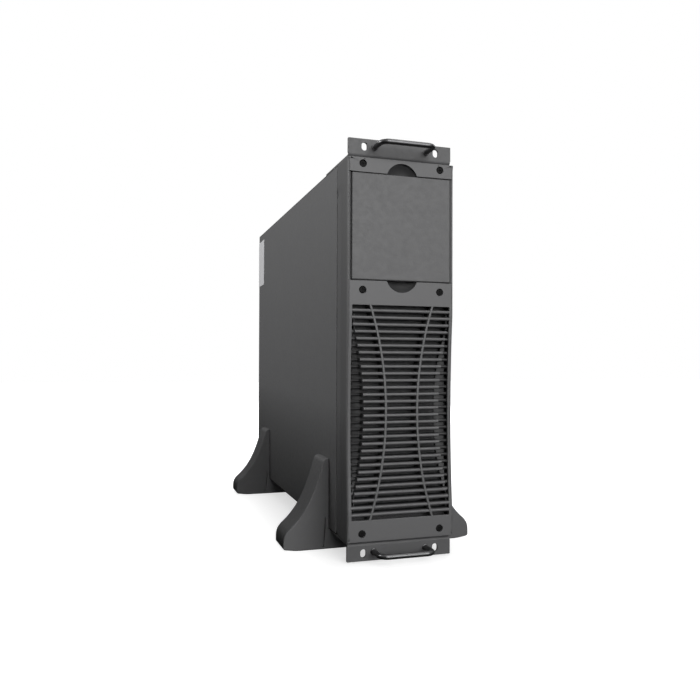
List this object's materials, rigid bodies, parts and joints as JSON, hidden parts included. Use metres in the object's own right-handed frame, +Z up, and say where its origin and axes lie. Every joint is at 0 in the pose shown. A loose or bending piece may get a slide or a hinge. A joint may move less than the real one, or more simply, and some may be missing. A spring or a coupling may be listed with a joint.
{
  "type": "uninterruptible power supply",
  "caption": "Dark grey rack and tower power backup unit standing upright on flared feet, with a louvred front bezel, blank square cover, rack ears with bar handles, fans and sockets at the back",
  "frame": {"origin": "on the floor under the middle of the whole object's footprint, midway between the handle's front and the tip of the rear earth stud", "axes": "+Z up as it stands as a tower, front with the louvres faces -Y, +X to the right seen from the front"},
  "size_m": [0.245, 0.5919, 0.4841],
  "materials": {
    "case_paint": "satin",
    "ear_paint": "satin",
    "handle_chrome": "gloss",
    "bezel_plastic": "matte",
    "foot_plastic": "matte",
    "black_screw": "satin",
    "filter_foam": "matte",
    "label_film": "satin",
    "zinc_sheet": "satin",
    "fan_plastic": "satin",
    "socket_plastic": "satin",
    "lever_plastic": "satin",
    "circuit_board": "satin",
    "heatsink_metal": "satin",
    "battery_case": "satin",
    "capacitor_sleeve": "gloss",
    "choke_winding": "satin",
    "lead_red": "satin",
    "lead_black": "satin"
  },
  "bodies": {
    "case": {"chassis_tub": "case_paint", "side_cover": "case_paint", "rear_panel": "case_paint", "slot_cover": "case_paint", "rack_ear_upper": "ear_paint", "rack_ear_lower": "ear_paint", "handle_upper": "handle_chrome", "handle_lower": "handle_chrome", "front_bezel": "bezel_plastic", "front_foot_left": "foot_plastic", "front_foot_right": "foot_plastic", "front_foot_spacer": "foot_plastic", "rear_foot_left": "foot_plastic", "rear_foot_right": "foot_plastic", "rear_foot_spacer": "foot_plastic", "bezel_screw_1": "black_screw", "bezel_screw_2": "black_screw", "bezel_screw_3": "black_screw", "bezel_screw_4": "black_screw", "bezel_screw_5": "black_screw", "bezel_screw_6": "black_screw", "dust_filter": "filter_foam", "rating_label": "label_film", "front_frame": "zinc_sheet", "bay_divider": "zinc_sheet", "battery_tray": "zinc_sheet", "fan_guard_upper": "zinc_sheet", "fan_guard_lower": "zinc_sheet", "resetter_body": "zinc_sheet", "comm_panel": "zinc_sheet", "earth_stud": "zinc_sheet", "fan_frame_upper": "fan_plastic", "fan_frame_lower": "fan_plastic", "breaker_body": "socket_plastic", "switch_frame": "socket_plastic", "mains_inlet": "socket_plastic", "outlet_block": "socket_plastic", "large_outlet": "socket_plastic", "battery_connector": "lever_plastic", "power_board": "circuit_board", "control_board": "circuit_board", "heatsink_rectifier": "heatsink_metal", "heatsink_inverter": "heatsink_metal", "battery_1": "battery_case", "battery_2": "battery_case", "battery_3": "battery_case", "battery_4": "battery_case", "battery_5": "battery_case", "battery_6": "battery_case", "bus_capacitor_1": "capacitor_sleeve", "bus_capacitor_2": "capacitor_sleeve", "output_choke": "choke_winding", "battery_lead_red": "lead_red", "battery_lead_black": "lead_black"},
    "cover": {"display_cover": "bezel_plastic"},
    "upper_rotor": {"fan_rotor_upper": "fan_plastic"},
    "lower_rotor": {"fan_rotor_lower": "fan_plastic"},
    "lever": {"breaker_lever": "lever_plastic"},
    "rocker": {"switch_rocker": "lever_plastic"},
    "reset_plunger": {"reset_button": "lever_plastic"}
  },
  "joints": [
    {"name": "cover_pull", "type": "slide", "parent": "case", "child": "cover", "axis": [0, -1, 0], "range_m": [0, 0.025]},
    {"name": "upper_fan_spin", "type": "hinge", "parent": "case", "child": "upper_rotor", "pos_m": [0, 0.2667, 0.2948], "axis": [0, 1, 0], "continuous": true},
    {"name": "lower_fan_spin", "type": "hinge", "parent": "case", "child": "lower_rotor", "pos_m": [0, 0.2667, 0.2068], "axis": [0, 1, 0], "continuous": true},
    {"name": "breaker_throw", "type": "hinge", "parent": "case", "child": "lever", "pos_m": [0.042, 0.2795, 0.3608], "axis": [1, 0, 0], "range_deg": [-52, 0]},
    {"name": "switch_rock", "type": "hinge", "parent": "case", "child": "rocker", "pos_m": [-0.002, 0.2785, 0.3608], "axis": [1, 0, 0], "range_deg": [-20, 0]},
    {"name": "reset_travel", "type": "slide", "parent": "case", "child": "reset_plunger", "axis": [0, 1, 0], "range_m": [0, 0.004]}
  ]
}
